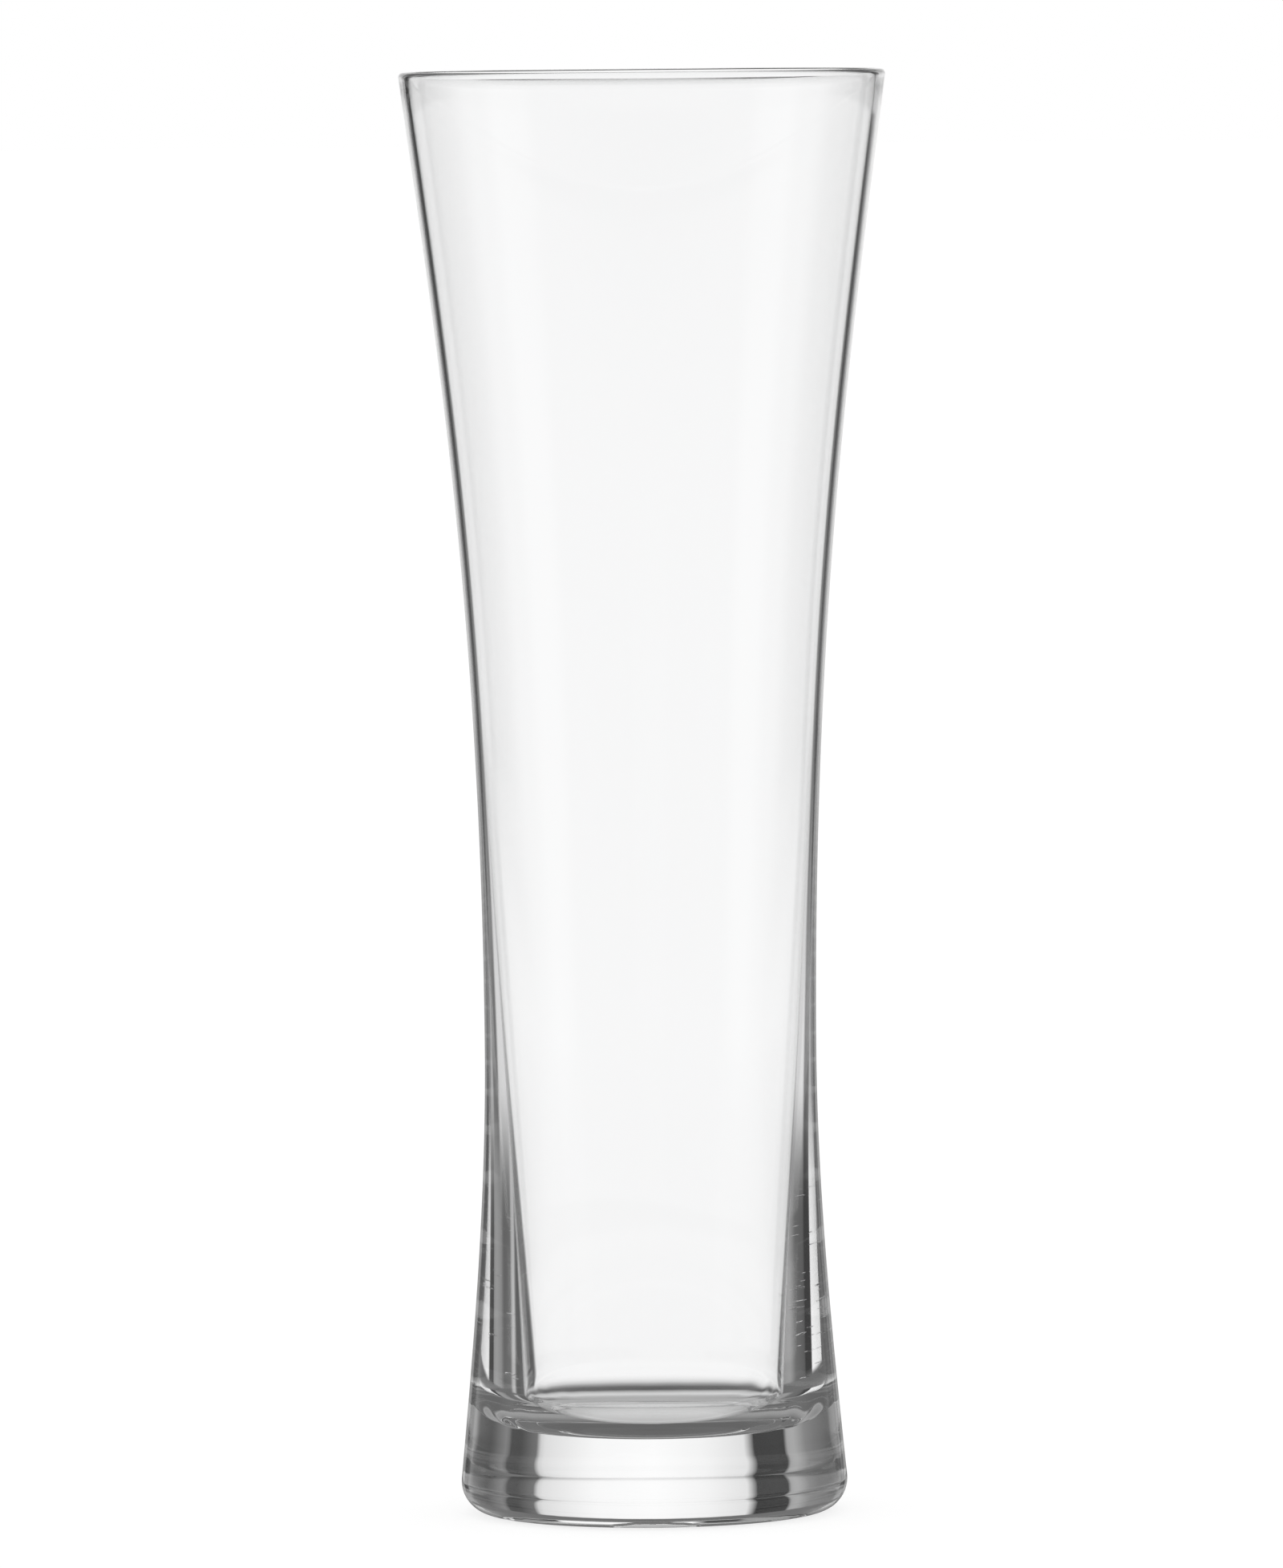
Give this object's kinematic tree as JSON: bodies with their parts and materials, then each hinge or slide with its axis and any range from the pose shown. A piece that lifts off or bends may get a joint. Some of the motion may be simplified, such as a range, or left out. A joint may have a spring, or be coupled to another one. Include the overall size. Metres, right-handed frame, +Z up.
{
  "type": "weizen glass",
  "caption": "Tall wheat-beer glass of clear glass: flared thin bowl, narrow waist and a thick solid foot with a round heel.",
  "frame": {"origin": "centre of the flat ring under the foot, on the table plane", "axes": "+Z up along the glass's axis of symmetry, from the foot to the rim; X and Y lie in the table plane and are equal"},
  "size_m": [0.0858, 0.0858, 0.255],
  "materials": {
    "clear_glass": "clear colourless glass, fire-polished and smooth, with faint ripples in the floor and heel and fine chill marks low on two sides"
  },
  "bodies": {
    "root": {"base": "clear_glass", "waist": "clear_glass", "bowl": "clear_glass", "rim": "clear_glass"}
  },
  "joints": []
}
